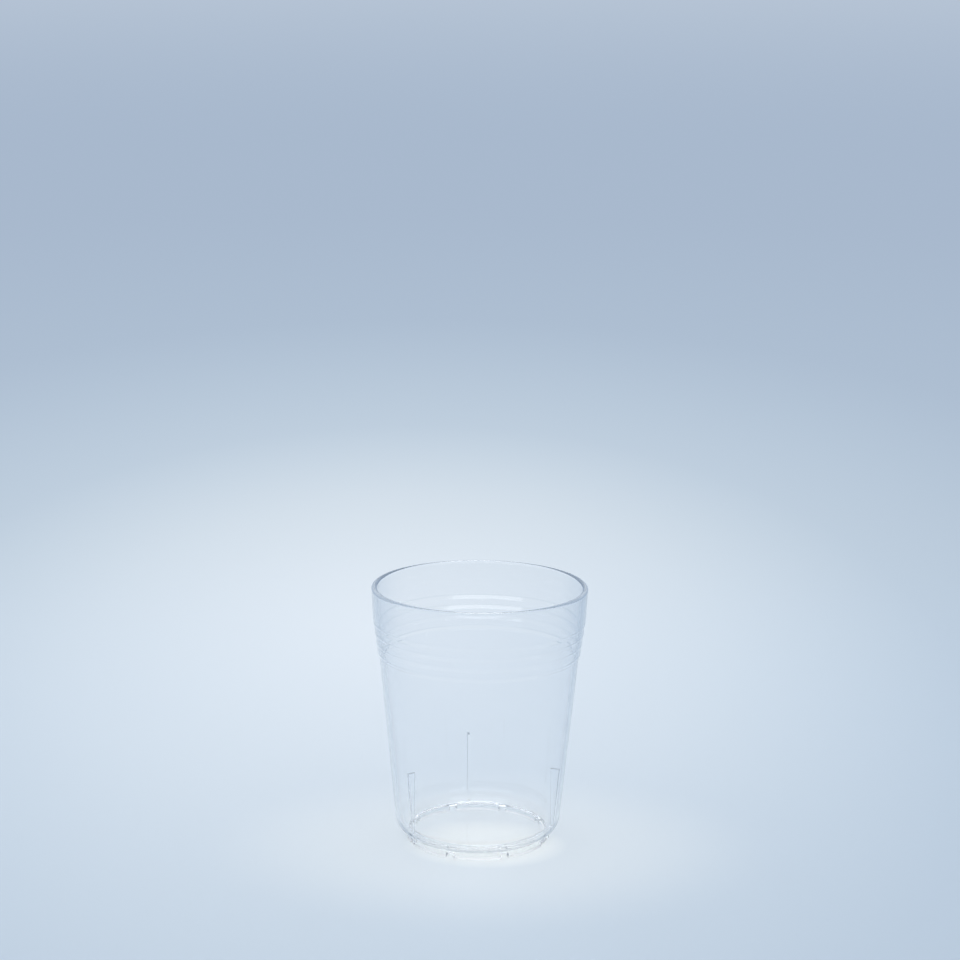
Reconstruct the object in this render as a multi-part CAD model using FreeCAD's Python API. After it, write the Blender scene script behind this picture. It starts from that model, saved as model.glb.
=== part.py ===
import FreeCAD, Part
import math
import os

# Clear stacking tumbler, moulded in one piece. Millimetres, +Z up, origin at the middle of the
# foot's resting plane. Heights are above that plane and radii are from the cup's axis.

# Overall form
height = 97.0
rim_radius = 40.0            # outside
rim_flat = 0.1               # left level on top, between the rim's two rounded edges
body_wall = 1.6
body_taper = 5.67            # degrees from upright, outside and inside

# Thick upper band and the ring steps under it, outside and inside alike
band_depth = 13.2            # from the rim's top down to the first step
band_wall = 2.0              # thins to the body's wall over the steps
band_taper = 3.15            # degrees from upright
step_count = 4
step_pitch = 3.85
step_inset = 0.42            # how far each step but the last goes in
last_inset = 0.66
step_flank = 1.6             # height of a step's sloping flank
step_rounding = 2.0

# Rounded heel, floor and foot ring
foot_height = 2.3
foot_inset = 3.7             # from the body's line at the heel in to the foot ring
foot_width = 1.9
foot_rounding = 0.4
heel_radius = 7.0
floor_thickness = 2.0

# Drain notches through the foot ring
notch_count = 8
notch_width = 3.0
notch_roof = 0.4             # what is left of the foot's height over a notch
notch_start = 22.5           # degrees from +X

# Upright ribs inside, which carry the next cup of a stack on their flat tops
rib_count = 3
rib_top = 30.6
rib_depth = 2.8              # at its top, where it stands out furthest
rib_thickness = 0.9
rib_rounding = 0.3
rib_start = 97.3             # degrees from +X

# Sizes that follow from those above
body_slope = math.tan(math.radians(body_taper))
band_slope = math.tan(math.radians(band_taper))
first_step = height - band_depth
step_land = step_pitch - step_flank
shoulder = first_step - (step_count - 1) * step_pitch - step_flank
straight_depth = band_depth + (step_count - 1) * step_land
stepped_in = (step_count - 1) * step_inset + last_inset
shoulder_radius = rim_radius - band_slope * straight_depth - stepped_in
outer_turn = math.radians(90 + band_taper)
inner_turn = math.radians(90 - band_taper)
rim_rounding = (band_wall - rim_flat) / (math.tan(outer_turn / 2) + math.tan(inner_turn / 2))


def body_radius(level):
    """Outside radius of the plain tapered body at a height, carried on past its ends."""
    return shoulder_radius - body_slope * (shoulder - level)


def inner_radius(level):
    """Inside radius of the plain tapered body at a height, carried on past its ends."""
    return body_radius(level) - body_wall


def along(start, end, distance):
    """Point at a distance from start on the way to end."""
    step = FreeCAD.Vector(end).sub(start)
    return FreeCAD.Vector(start).add(step.normalize().multiply(distance))


def rounded_outline(corners):
    """Closed face in the XZ plane from (radius, height, rounding) corners, rounded by tangent arcs."""
    points = [FreeCAD.Vector(radius, 0, level) for radius, level, rounding in corners]
    count = len(points)
    pieces = []
    for i in range(count):
        before = points[i - 1]
        here = points[i]
        after = points[(i + 1) % count]
        rounding = corners[i][2]
        if rounding == 0:
            pieces.append((here, None, here))
            continue
        turn = math.pi - before.sub(here).getAngle(after.sub(here))
        reach = rounding * math.tan(turn / 2)
        start = along(here, before, reach)
        end = along(here, after, reach)
        depth = rounding / math.cos(turn / 2) - rounding
        middle = along(here, start.add(end).multiply(0.5), depth)
        pieces.append((start, middle, end))
    edges = []
    for i in range(count):
        start, middle, end = pieces[i]
        if middle is not None:
            edges.append(Part.Arc(start, middle, end).toShape())
        edges.append(Part.LineSegment(end, pieces[(i + 1) % count][0]).toShape())
    return Part.Face(Part.Wire(edges))


def turned(corners):
    """Solid of revolution about the cup's axis."""
    axis_point = FreeCAD.Vector(0, 0, 0)
    axis = FreeCAD.Vector(0, 0, 1)
    return rounded_outline(corners).revolve(axis_point, axis, 360)


def step_corners():
    """Head and foot of each flank from the band down, on the outside and on the inside."""
    outside = []
    inside = []
    radius = rim_radius - band_slope * band_depth
    level = first_step
    wall = band_wall
    for i in range(step_count):
        outside.append((radius, level, step_rounding))
        inside.append((radius - wall, level, step_rounding))
        radius -= last_inset if i == step_count - 1 else step_inset
        level -= step_flank
        wall -= (band_wall - body_wall) / step_count
        outside.append((radius, level, step_rounding))
        inside.append((radius - wall, level, step_rounding))
        radius -= band_slope * step_land
        level -= step_land
    return outside, inside


def walls():
    """Floor, heel, tapered wall, ring steps, band and rounded rim, turned as one section."""
    floor = foot_height + floor_thickness
    outside_steps, inside_steps = step_corners()
    return turned([
        (0, foot_height, 0),
        (body_radius(foot_height), foot_height, heel_radius),
        *outside_steps[::-1],
        (rim_radius, height, rim_rounding),
        (rim_radius - band_wall, height, rim_rounding),
        *inside_steps,
        (inner_radius(floor), floor, heel_radius - body_wall),
        (0, floor, 0),
    ])


def foot_ring():
    """Ring that the cup stands on, let into the floor above it."""
    outside = body_radius(foot_height) - foot_inset
    inside = outside - foot_width
    top = foot_height + floor_thickness / 2
    return turned([
        (inside, 0, foot_rounding),
        (outside, 0, foot_rounding),
        (outside, top, 0),
        (inside, top, 0),
    ])


def placed_round(shape, start, index, count):
    """A shape made on the +X side, turned to its place among count of its kind."""
    copy = shape.copy()
    copy.rotate(FreeCAD.Vector(0, 0, 0), FreeCAD.Vector(0, 0, 1), start + index * 360 / count)
    return copy


def notch():
    """Slot on the +X side that crosses the whole width of the foot ring."""
    reach = body_radius(foot_height)
    slot = Part.makeBox(reach, notch_width, foot_height)
    slot.translate(FreeCAD.Vector(reach / 2, -notch_width / 2, -notch_roof))
    return slot


def rib():
    """Upright rib on the +X side: a slab with a rounded nose, let into the middle of the wall."""
    nose = inner_radius(rib_top) - rib_depth
    slab = Part.makeBox(body_radius(rib_top) - nose, rib_thickness, rib_top)
    slab.translate(FreeCAD.Vector(nose, -rib_thickness / 2, 0))
    nose_edges = [edge for edge in slab.Edges if edge.BoundBox.XMax < nose + rib_thickness]
    slab = slab.makeFillet(rib_rounding, nose_edges)
    middle = foot_height + floor_thickness / 2
    core = turned([
        (0, middle, 0),
        (inner_radius(middle) + body_wall / 2, middle, heel_radius - body_wall / 2),
        (inner_radius(shoulder) + body_wall / 2, shoulder, 0),
        (0, shoulder, 0),
    ])
    return slab.common(core)


def tumbler():
    """The whole cup: walls, foot ring and ribs as one solid, with the notches cut through the foot."""
    ribs = [placed_round(rib(), rib_start, i, rib_count) for i in range(rib_count)]
    cup = walls().fuse([foot_ring(), *ribs])
    cup = cup.cut([placed_round(notch(), notch_start, i, notch_count) for i in range(notch_count)])
    return cup.removeSplitter()


os.makedirs("parts", exist_ok=True)
tumbler().exportStep("parts/tumbler.step")
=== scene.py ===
import math

import bmesh
import bpy
from mathutils import Matrix, Vector


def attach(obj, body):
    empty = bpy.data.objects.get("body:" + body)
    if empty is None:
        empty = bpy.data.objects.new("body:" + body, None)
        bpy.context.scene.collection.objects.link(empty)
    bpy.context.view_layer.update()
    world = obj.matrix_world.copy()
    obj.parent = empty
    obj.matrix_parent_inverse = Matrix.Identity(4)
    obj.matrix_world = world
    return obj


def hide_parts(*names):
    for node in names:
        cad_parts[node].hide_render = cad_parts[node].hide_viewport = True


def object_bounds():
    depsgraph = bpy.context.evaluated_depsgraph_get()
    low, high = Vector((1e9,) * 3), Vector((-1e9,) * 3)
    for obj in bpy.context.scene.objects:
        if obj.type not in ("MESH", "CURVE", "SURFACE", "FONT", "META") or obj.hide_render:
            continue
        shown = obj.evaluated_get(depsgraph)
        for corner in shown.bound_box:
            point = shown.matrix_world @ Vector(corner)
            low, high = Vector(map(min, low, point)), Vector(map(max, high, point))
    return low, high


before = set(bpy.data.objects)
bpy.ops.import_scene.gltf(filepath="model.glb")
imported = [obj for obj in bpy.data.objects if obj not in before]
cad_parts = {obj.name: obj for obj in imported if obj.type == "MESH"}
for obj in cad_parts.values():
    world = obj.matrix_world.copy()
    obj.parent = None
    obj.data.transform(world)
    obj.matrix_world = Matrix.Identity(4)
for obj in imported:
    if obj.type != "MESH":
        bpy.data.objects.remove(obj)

# Clear stacking tumbler on a pale floor. Metres, +Z up, the cup's axis on Z, its foot on the floor.

# Cup: height and width come from the frame, the rest are its own sizes
cad_low, cad_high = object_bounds()
height = cad_high.z
rim_flat = 0.0001            # left level on top, between the rim's two rounded edges
body_wall = 0.0016
body_taper = math.radians(5.67)

# Thick upper band and the ring steps under it, outside and inside alike
band_depth = 0.0132          # from the rim's top down to the first step
band_wall = 0.0020           # thins to the body's wall over the steps
band_taper = math.radians(3.15)
step_count = 4
step_pitch = 0.00385
step_inset = 0.00042         # how far each step but the last goes in
last_inset = 0.00066
step_flank = 0.0016          # height of a step's sloping flank
step_rounding = 0.0020

# Rounded heel, floor and foot ring
foot_height = 0.0023
foot_inset = 0.0037          # from the body's line at the heel in to the foot ring
foot_width = 0.0019
foot_rounding = 0.0004
heel_radius = 0.0070
floor_thickness = 0.0020

# Drain notches through the foot ring
notch_count = 8
notch_width = 0.0030
notch_roof = 0.0004          # what is left of the foot's height over a notch
notch_start = 22.5           # degrees from +X

# Upright ribs inside
rib_count = 3
rib_top = 0.0306
rib_depth = 0.0028           # at its top, where it stands out furthest
rib_thickness = 0.0009
rib_rounding = 0.0003
rib_start = 97.3             # degrees from +X

# Sizes that follow from those above
body_slope = math.tan(body_taper)
band_slope = math.tan(band_taper)
outer_reach = math.tan((math.pi / 2 + band_taper) / 2)
inner_reach = math.tan((math.pi / 2 - band_taper) / 2)
heel_reach = math.tan((math.pi / 2 - body_taper) / 2)
rim_rounding = (band_wall - rim_flat) / (outer_reach + inner_reach)
rim_radius = cad_high.x + rim_rounding * outer_reach * math.sin(band_taper)
first_step = height - band_depth
step_land = step_pitch - step_flank
shoulder = first_step - (step_count - 1) * step_pitch - step_flank
straight_depth = band_depth + (step_count - 1) * step_land
stepped_in = (step_count - 1) * step_inset + last_inset
shoulder_radius = rim_radius - band_slope * straight_depth - stepped_in

# Mesh density
turns = 384                  # vertices round the cup
arc_step = math.radians(7)   # most that one edge of a rounding turns
longest_edge = 0.006         # on a straight stretch of the section
nose_segments = 4            # on the rounded edges of a rib
sharp_angle = math.radians(35)
hair = 1e-7                  # places closer than this are the same

# Plastic
plain_tint = (0.985, 0.99, 0.995, 1)
deep_tint = (0.885, 0.912, 0.948, 1)
trapped_tint = (0.70, 0.735, 0.78, 1)
gloss_finest = 0.01          # roughness where the surface is smoothest
gloss_coarsest = 0.05
worn_foot = 0.35             # roughness where the foot ring rubs on tables
worn_starts = 0.0019         # height at which the foot ring starts to be rubbed dull
worn_full = 0.0002
glance_starts = 0.30         # how far a surface faces away, from 0 to 1, when its tint deepens
glance_full = 0.80
thick_starts = 0.066         # height at which the deeper tint of the thick band starts
thick_full = 0.084
thin_share = 0.25            # of the deeper tint, on the body below the band
deepest_bounce = 2           # reflections that a ray makes before it gets out of the wall
bounce_share = 0.8           # of the light off the floor that goes straight through

# Camera, in front of the cup on -Y
camera_distance = 0.862
camera_height = 0.3179
camera_aside = -0.0003
camera_pitch = 11.87         # degrees down
camera_roll = 0.54
sensor_width = 36            # mm
focal_length = 90.42         # mm

# Stage: a floor that curves up into a round wall
stage_radius = 2.6
cove_radius = 0.3
wall_height = 1.2
foot_gap = 0.0001            # air left under the foot

# Colours of the stage as they look on screen, from 0 to 255: the floor's pale colour with a painted
# falloff of light, darker away from the lightest place, and a wall painted lighter towards its top
tones_end = 3.0              # distance from the lightest place at which the tones end
floor_tones_painted_falloff = (
    (0.00, (229, 237, 245)),
    (0.30, (212, 224, 235)),
    (0.54, (190, 206, 222)),
    (1.08, (171, 188, 208)),
    (2.70, (167, 183, 204)),
)
wall_tone_painted_light = (236, 243, 248)
painted_caustic_tone = (249, 254, 255)
lightest_place = (-0.04, 0.3)
tones_squash = 2.0           # how much faster the floor darkens to the sides than in depth
wall_starts = 0.08
wall_full = 0.9
glow_starts = 0.2            # from here on the stage turns from lit to a glow of its painted tone, seen by the camera, in reflections and through the plastic
glow_full = 0.6

# Painted caustic round the foot, the light that the cup gathers painted onto the floor: a narrow patch in
# a wide faint one
patch_place = (0.003, -0.010)
patch_squash = 0.8
patch_edge = 0.034
patch_core = 0.010
patch_strength = 0.9
halo_edge = 0.09
halo_core = 0.03
halo_strength = 0.30


def body_radius(level):
    """Outside radius of the plain tapered body at a height."""
    return shoulder_radius - body_slope * (shoulder - level)


def inner_radius(level):
    """Inside radius of the plain tapered body at a height."""
    return body_radius(level) - body_wall


def rounded(corners):
    """Points of an open outline through (radius, height, rounding) corners, with round arcs."""
    points = []
    for i, (radius, level, rounding) in enumerate(corners):
        here = Vector((radius, level))
        if rounding == 0 or i in (0, len(corners) - 1):
            points.append(here)
            continue
        before = Vector(corners[i - 1][:2])
        after = Vector(corners[i + 1][:2])
        back = (before - here).normalized()
        ahead = (after - here).normalized()
        turn = math.pi - back.angle(ahead)
        start = here + back * rounding * math.tan(turn / 2)
        centre = here + (back + ahead).normalized() * rounding / math.cos(turn / 2)
        spoke = start - centre
        way = 1 if back.x * ahead.y - back.y * ahead.x < 0 else -1
        pieces = max(2, math.ceil(turn / arc_step))
        for k in range(pieces + 1):
            points.append(centre + Matrix.Rotation(way * turn * k / pieces, 2) @ spoke)
    return points


def split_long_edges(points):
    """The same outline with its long straight edges cut into equal shorter ones."""
    outline = [points[0]]
    for start, end in zip(points, points[1:]):
        pieces = max(1, math.ceil((end - start).length / longest_edge))
        for k in range(1, pieces + 1):
            outline.append(start.lerp(end, k / pieces))
    return outline


def step_corners():
    """Head and foot of each flank from the band down, on the outside and on the inside."""
    outside = []
    inside = []
    radius = rim_radius - band_slope * band_depth
    level = first_step
    wall = band_wall
    for i in range(step_count):
        outside.append((radius, level, step_rounding))
        inside.append((radius - wall, level, step_rounding))
        radius -= last_inset if i == step_count - 1 else step_inset
        level -= step_flank
        wall -= (band_wall - body_wall) / step_count
        outside.append((radius, level, step_rounding))
        inside.append((radius - wall, level, step_rounding))
        radius -= band_slope * step_land
        level -= step_land
    return outside, inside


def heel_start():
    """Radius at which the flat underside turns up into the rounded heel."""
    return body_radius(foot_height) - heel_radius * heel_reach


def heel_level(radius):
    """Height of the cup's underside at a radius under the rounded heel."""
    across = radius - heel_start()
    return foot_height + heel_radius - math.sqrt(heel_radius ** 2 - across ** 2)


def cup_section():
    """Closed half section: underside, foot ring, heel, steps, rim, inside wall and floor."""
    foot_outside = body_radius(foot_height) - foot_inset
    foot_inside = foot_outside - foot_width
    floor = foot_height + floor_thickness
    outside_steps, inside_steps = step_corners()
    foot = rounded([
        (0, foot_height, 0),
        (heel_start(), foot_height, 0),
        (foot_inside, heel_level(foot_inside), 0),
        (foot_inside, 0, foot_rounding),
        (foot_outside, 0, foot_rounding),
        (foot_outside, heel_level(foot_outside), 0),
    ])
    walls = rounded([
        (0, foot_height, 0),
        (body_radius(foot_height), foot_height, heel_radius),
        *outside_steps[::-1],
        (rim_radius, height, rim_rounding),
        (rim_radius - band_wall, height, rim_rounding),
        *inside_steps,
        (inner_radius(floor), floor, heel_radius - body_wall),
        (0, floor, 0),
    ])
    while walls[0].x < foot_outside:
        walls.pop(0)
    return split_long_edges(foot + walls)


def lathe(name, outline):
    """Closed mesh of an outline turned round Z, with a single vertex wherever it is on the axis."""
    mesh = bmesh.new()
    rings = []
    for radius, level in outline:
        if radius < hair:
            rings.append([mesh.verts.new((0, 0, level))] * turns)
            continue
        rings.append([
            mesh.verts.new((radius * math.cos(a), radius * math.sin(a), level))
            for a in (math.tau * k / turns for k in range(turns))
        ])
    for lower, upper in zip(rings, rings[1:]):
        for k in range(turns):
            after = (k + 1) % turns
            corners = [lower[k], lower[after], upper[after], upper[k]]
            mesh.faces.new(list(dict.fromkeys(corners)))
    return finished(name, mesh)


def finished(name, mesh):
    """Turns a bmesh into an object in the scene, with its faces outward."""
    bmesh.ops.recalc_face_normals(mesh, faces=mesh.faces)
    data = bpy.data.meshes.new(name)
    mesh.to_mesh(data)
    mesh.free()
    thing = bpy.data.objects.new(name, data)
    bpy.context.scene.collection.objects.link(thing)
    return thing


def placed_round(mesh, geometry, start, index, count):
    """Turns geometry made on the +X side to its place among count of its kind."""
    turn = Matrix.Rotation(math.radians(start) + math.tau * index / count, 3, "Z")
    bmesh.ops.rotate(mesh, verts=geometry, cent=(0, 0, 0), matrix=turn)


def notch_cutters():
    """Boxes that cross the foot ring, one for each drain notch."""
    mesh = bmesh.new()
    reach = body_radius(foot_height)
    for i in range(notch_count):
        box = bmesh.ops.create_cube(mesh, size=1)["verts"]
        bmesh.ops.scale(mesh, verts=box, vec=(reach, notch_width, foot_height))
        bmesh.ops.translate(mesh, verts=box, vec=(reach, 0, foot_height / 2 - notch_roof))
        placed_round(mesh, box, notch_start, i, notch_count)
    return finished("notch_cutters", mesh)


def ribs():
    """Upright ribs with rounded noses, each let into the middle of the wall."""
    mesh = bmesh.new()
    nose = inner_radius(rib_top) - rib_depth
    middle = foot_height + floor_thickness / 2
    mid_wall = body_wall / 2
    side = rounded([
        (nose, middle, 0),
        (inner_radius(middle) + mid_wall, middle, heel_radius - mid_wall),
        (inner_radius(rib_top) + mid_wall, rib_top, 0),
        (nose, rib_top, 0),
    ])
    for i in range(rib_count):
        near = [mesh.verts.new((x, -rib_thickness / 2, z)) for x, z in side]
        face = mesh.faces.new(near)
        grown = bmesh.ops.extrude_face_region(mesh, geom=[face])["geom"]
        far = [item for item in grown if isinstance(item, bmesh.types.BMVert)]
        bmesh.ops.translate(mesh, verts=far, vec=(0, rib_thickness, 0))
        noses = [
            edge for edge in {e for v in near + far for e in v.link_edges}
            if all(abs(v.co.x - nose) < hair for v in edge.verts)
            and abs(edge.verts[0].co.z - edge.verts[1].co.z) > rib_top / 2
        ]
        others = set(mesh.verts) - set(near) - set(far)
        bmesh.ops.bevel(
            mesh, geom=noses, offset=rib_rounding, segments=nose_segments, profile=0.5, affect="EDGES"
        )
        own = [v for v in mesh.verts if v not in others]
        placed_round(mesh, own, rib_start, i, rib_count)
    return finished("rib_blanks", mesh)


def combine(target, tool, operation):
    """Cuts tool out of target or joins it on, and removes tool."""
    modifier = target.modifiers.new(operation.lower(), "BOOLEAN")
    modifier.object = tool
    modifier.operation = operation
    modifier.solver = "MANIFOLD"
    bpy.context.view_layer.update()
    evaluated = target.evaluated_get(bpy.context.evaluated_depsgraph_get())
    data = bpy.data.meshes.new_from_object(evaluated)
    target.modifiers.clear()
    target.data = data
    bpy.data.objects.remove(tool)


def smooth(thing):
    """Smooth shading that keeps the true edges sharp and the straight walls true."""
    thing.data.shade_smooth()
    thing.data.set_sharp_from_angle(angle=sharp_angle)
    modifier = thing.modifiers.new("wall_normals", "WEIGHTED_NORMAL")
    modifier.keep_sharp = True


def linear(tone):
    """Colour written as screen values from 0 to 255, as the linear colour that a shader takes."""
    channels = []
    for value in tone:
        share = value / 255
        channels.append(share / 12.92 if share <= 0.04045 else ((share + 0.055) / 1.055) ** 2.4)
    return (*channels, 1)


def new_material(name):
    """Material with nodes, and its node tree."""
    material = bpy.data.materials.new(name)
    material.use_nodes = True
    return material, material.node_tree


def fill(tree, socket, value):
    """Links an output to a socket, or writes a plain value into it."""
    if isinstance(value, bpy.types.NodeSocket):
        tree.links.new(value, socket)
    else:
        socket.default_value = value


def combined(tree, operation, first, second):
    """Output of one operation on two outputs or plain numbers."""
    node = tree.nodes.new("ShaderNodeMath")
    node.operation = operation
    fill(tree, node.inputs[0], first)
    fill(tree, node.inputs[1], second)
    return node.outputs["Value"]


def eased(tree, value, start, end, low=0, high=1):
    """Output that goes smoothly from low to high while value goes from start to end."""
    node = tree.nodes.new("ShaderNodeMapRange")
    node.interpolation_type = "SMOOTHSTEP"
    fill(tree, node.inputs["Value"], value)
    node.inputs["From Min"].default_value = start
    node.inputs["From Max"].default_value = end
    node.inputs["To Min"].default_value = low
    node.inputs["To Max"].default_value = high
    return node.outputs["Result"]


def ranged(tree, value, low, high, end=1):
    """Output that goes evenly from low to high while value goes from 0 to end."""
    node = tree.nodes.new("ShaderNodeMapRange")
    fill(tree, node.inputs["Value"], value)
    node.inputs["From Max"].default_value = end
    node.inputs["To Min"].default_value = low
    node.inputs["To Max"].default_value = high
    return node.outputs["Result"]


def blended(tree, share, first, second):
    """Colour that goes from first to second as share goes from 0 to 1."""
    node = tree.nodes.new("ShaderNodeMix")
    node.data_type = "RGBA"
    fill(tree, node.inputs["Factor"], share)
    fill(tree, node.inputs["A"], first)
    fill(tree, node.inputs["B"], second)
    return node.outputs["Result"]


def blended_shader(tree, share, first, second):
    """Shader that goes from first to second as share goes from 0 to 1."""
    node = tree.nodes.new("ShaderNodeMixShader")
    tree.links.new(share, node.inputs["Fac"])
    tree.links.new(first, node.inputs[1])
    tree.links.new(second, node.inputs[2])
    return node.outputs["Shader"]


def noise(tree, place, scale, detail):
    """Value of a cloudy pattern fixed to the object."""
    node = tree.nodes.new("ShaderNodeTexNoise")
    node.inputs["Scale"].default_value = scale
    node.inputs["Detail"].default_value = detail
    tree.links.new(place, node.inputs["Vector"])
    return node.outputs["Fac"]


def object_place(tree):
    """Place on the object, and its height alone."""
    place = tree.nodes.new("ShaderNodeTexCoord").outputs["Object"]
    split = tree.nodes.new("ShaderNodeSeparateXYZ")
    tree.links.new(place, split.inputs["Vector"])
    return place, split.outputs["Z"]


def length(tree, vector):
    """Length of a vector."""
    node = tree.nodes.new("ShaderNodeVectorMath")
    node.operation = "LENGTH"
    tree.links.new(vector, node.inputs[0])
    return node.outputs["Value"]


def floor_distance(tree, place, centre, squash):
    """Level distance from a centre, counted squash times over from side to side."""
    shift = tree.nodes.new("ShaderNodeMapping")
    shift.inputs["Location"].default_value = (-centre[0] * squash, -centre[1], 0)
    shift.inputs["Scale"].default_value = (squash, 1, 0)
    tree.links.new(place, shift.inputs["Vector"])
    return length(tree, shift.outputs["Vector"])


def plastic_roughness(tree, place, level):
    """Gloss that varies softly, and is rubbed dull where the foot ring touches the table."""
    gloss = ranged(tree, noise(tree, place, scale=60, detail=3), gloss_finest, gloss_coarsest)
    worn = eased(tree, level, start=worn_starts, end=worn_full, high=worn_foot)
    return combined(tree, "MAXIMUM", gloss, worn)


def plastic_tint(tree, level):
    """Tint that deepens at a glancing angle, most of all in the thick band."""
    facing = tree.nodes.new("ShaderNodeLayerWeight").outputs["Facing"]
    long_way = eased(tree, facing, start=glance_starts, end=glance_full)
    thick = eased(tree, level, start=thick_starts, end=thick_full, low=thin_share)
    return blended(tree, combined(tree, "MULTIPLY", long_way, thick), plain_tint, deep_tint)


def plastic_waves(tree, place):
    """Normal that carries the mould's faint waviness."""
    bump = tree.nodes.new("ShaderNodeBump")
    bump.inputs["Strength"].default_value = 0.05
    bump.inputs["Distance"].default_value = 0.0003
    tree.links.new(noise(tree, place, scale=90, detail=1), bump.inputs["Height"])
    return bump.outputs["Normal"]


def clear_plastic():
    """Polished clear plastic with a faint blue tint, slight haze and the mould's soft waviness."""
    material, tree = new_material("clear_plastic")
    place, level = object_place(tree)
    path = tree.nodes.new("ShaderNodeLightPath")
    shader = tree.nodes["Principled BSDF"]
    shader.inputs["IOR"].default_value = 1.5
    shader.inputs["Transmission Weight"].default_value = 1
    tree.links.new(plastic_tint(tree, level), shader.inputs["Base Color"])
    tree.links.new(plastic_roughness(tree, place, level), shader.inputs["Roughness"])
    tree.links.new(plastic_waves(tree, place), shader.inputs["Normal"])

    # Light that has been reflected inside the wall a few times gets out with the tint of a long way
    trapped = tree.nodes.new("ShaderNodeBsdfTransparent")
    trapped.inputs["Color"].default_value = trapped_tint
    deep = combined(tree, "GREATER_THAN", path.outputs["Glossy Depth"], deepest_bounce)
    seen = blended_shader(tree, deep, shader.outputs["BSDF"], trapped.outputs["BSDF"])

    # Lamps shine straight through, and so does most of the light off the floor
    straight = tree.nodes.new("ShaderNodeBsdfTransparent")
    bounced = combined(tree, "MULTIPLY", path.outputs["Is Diffuse Ray"], bounce_share)
    passing = combined(tree, "MAXIMUM", path.outputs["Is Shadow Ray"], bounced)
    surface = blended_shader(tree, passing, seen, straight.outputs["BSDF"])
    tree.links.new(surface, tree.nodes["Material Output"].inputs["Surface"])
    return material


def stage_tone_painted_falloff(tree, place, level):
    """Tone of the floor, with a painted falloff of light by its distance from the lightest place, and of
    the wall above it, painted lighter towards its top.
    """
    distance = floor_distance(tree, place, lightest_place, tones_squash)
    ramp = tree.nodes.new("ShaderNodeValToRGB")
    ramp.color_ramp.interpolation = "B_SPLINE"
    while len(ramp.color_ramp.elements) < len(floor_tones_painted_falloff):
        ramp.color_ramp.elements.new(0.5)
    for element, (reach, tone) in zip(ramp.color_ramp.elements, floor_tones_painted_falloff):
        element.position = reach / tones_end
        element.color = linear(tone)
    tree.links.new(ranged(tree, distance, 0, 1, end=tones_end), ramp.inputs["Fac"])
    rise = eased(tree, level, start=wall_starts, end=wall_full)
    return blended(tree, rise, ramp.outputs["Color"], linear(wall_tone_painted_light))


def painted_caustic_share(tree, place):
    """Share of the painted caustic round the foot."""
    from_foot = floor_distance(tree, place, patch_place, patch_squash)
    patch = eased(tree, from_foot, start=patch_edge, end=patch_core, high=patch_strength)
    halo = eased(tree, from_foot, start=halo_edge, end=halo_core, high=halo_strength)
    return combined(tree, "MAXIMUM", patch, halo)


def seen_ray(tree):
    """Output that is 1 for what the camera sees, straight, reflected or through clear plastic."""
    path = tree.nodes.new("ShaderNodeLightPath")
    first = combined(tree, "MAXIMUM", path.outputs["Is Camera Ray"], path.outputs["Is Glossy Ray"])
    return combined(tree, "MAXIMUM", first, path.outputs["Is Transmission Ray"])


def stage_paint():
    """Matt pale floor with a painted caustic round the foot, that far from the cup shows its painted tone
    as a glow instead of being lit.
    """
    material, tree = new_material("stage_paint")
    place, level = object_place(tree)
    tone = stage_tone_painted_falloff(tree, place, level)
    matt = tree.nodes["Principled BSDF"]
    matt.inputs["Roughness"].default_value = 0.9
    matt.inputs["Specular IOR Level"].default_value = 0
    # Painted caustic: the floor's colour is lightened round the foot, where the cup gathers light
    floor_with_painted_caustic = blended(tree, painted_caustic_share(tree, place), tone, linear(painted_caustic_tone))
    tree.links.new(floor_with_painted_caustic, matt.inputs["Base Color"])
    # Painted glow: far from the cup the stage shows its painted tone as emission to the camera instead of
    # being lit
    even = tree.nodes.new("ShaderNodeEmission")
    tree.links.new(tone, even.inputs["Color"])
    far = eased(tree, length(tree, place), start=glow_starts, end=glow_full)
    share = combined(tree, "MULTIPLY", far, seen_ray(tree))
    surface = blended_shader(tree, share, matt.outputs["BSDF"], even.outputs["Emission"])
    tree.links.new(surface, tree.nodes["Material Output"].inputs["Surface"])
    return material


def make_cup():
    """The cup: one turned section with its ribs joined on and its notches cut."""
    cup = lathe("cup_tumbler", cup_section())
    combine(cup, ribs(), "UNION")
    combine(cup, notch_cutters(), "DIFFERENCE")
    cup.data.materials.clear()
    cup.data.materials.append(clear_plastic())
    smooth(cup)
    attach(cup, "root")
    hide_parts("tumbler")


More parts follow.
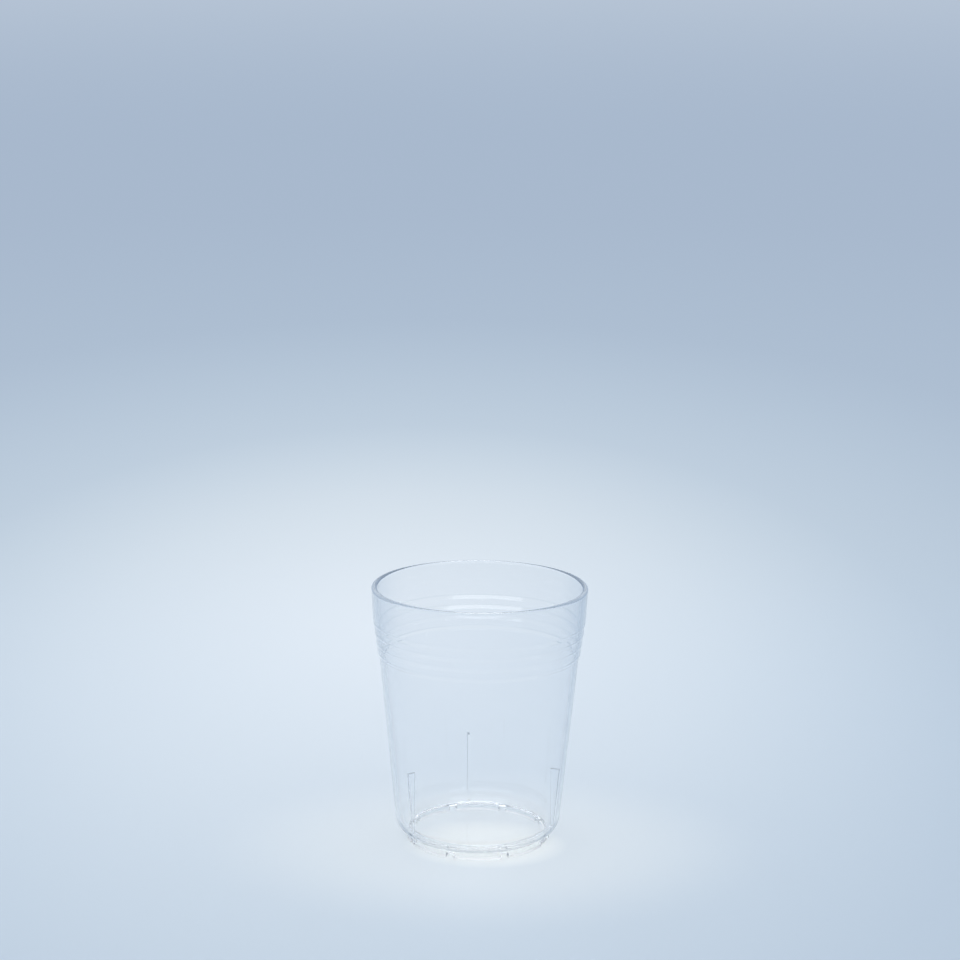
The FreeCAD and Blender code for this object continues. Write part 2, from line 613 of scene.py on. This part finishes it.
def make_stage():
    """Round floor and wall in one sweep."""
    outline = rounded([
        (0, 0, 0),
        (stage_radius, 0, cove_radius),
        (stage_radius, wall_height, 0),
    ])
    stage = lathe("stage", outline)
    stage.location.z = -foot_gap
    stage.data.shade_smooth()
    stage.data.materials.append(stage_paint())


def make_camera():
    """Camera at the photograph's angle."""
    data = bpy.data.cameras.new("camera")
    data.sensor_width = sensor_width
    data.lens = focal_length
    camera = bpy.data.objects.new("camera", data)
    tilt = Matrix.Rotation(math.radians(90 - camera_pitch), 4, "X")
    roll = Matrix.Rotation(math.radians(camera_roll), 4, "Z")
    place = Matrix.Translation((camera_aside, -camera_distance, camera_height))
    camera.matrix_world = place @ tilt @ roll
    bpy.context.scene.collection.objects.link(camera)
    bpy.context.scene.camera = camera


def area_light(name, place, target, size, power):
    """Rectangular soft light that faces a point. Size is its width and height, power in watts."""
    data = bpy.data.lights.new(name, "AREA")
    data.shape = "RECTANGLE"
    data.size = size[0]
    data.size_y = size[1]
    data.energy = power
    light = bpy.data.objects.new(name, data)
    light.location = place
    light.rotation_mode = "QUATERNION"
    light.rotation_quaternion = (Vector(target) - Vector(place)).to_track_quat("-Z", "Y")
    bpy.context.scene.collection.objects.link(light)


def make_lights():
    """Even sky light, a wide lamp overhead, a low strip in front and a small lamp high behind."""
    world = bpy.data.worlds.new("world")
    bpy.context.scene.world = world
    world.use_nodes = True
    sky = world.node_tree.nodes["Background"]
    sky.inputs["Color"].default_value = (0.985, 0.99, 1, 1)
    sky.inputs["Strength"].default_value = 0.72
    area_light("lamp_overhead", place=(-0.1, 0.1, 1.6), target=(-0.1, 0.1, 0), size=(1.8, 1.8), power=8.6)
    area_light("lamp_front", place=(-0.1, -1.3, 0.22), target=(0, 0, 0.08), size=(2.8, 0.12), power=2.2)
    area_light("lamp_behind", place=(0.02, 1.03, 1.23), target=(0, 0, 0.05), size=(0.26, 0.5), power=2.6)


make_cup()
make_stage()
make_lights()
make_camera()
bpy.context.scene.view_settings.view_transform = "Standard"
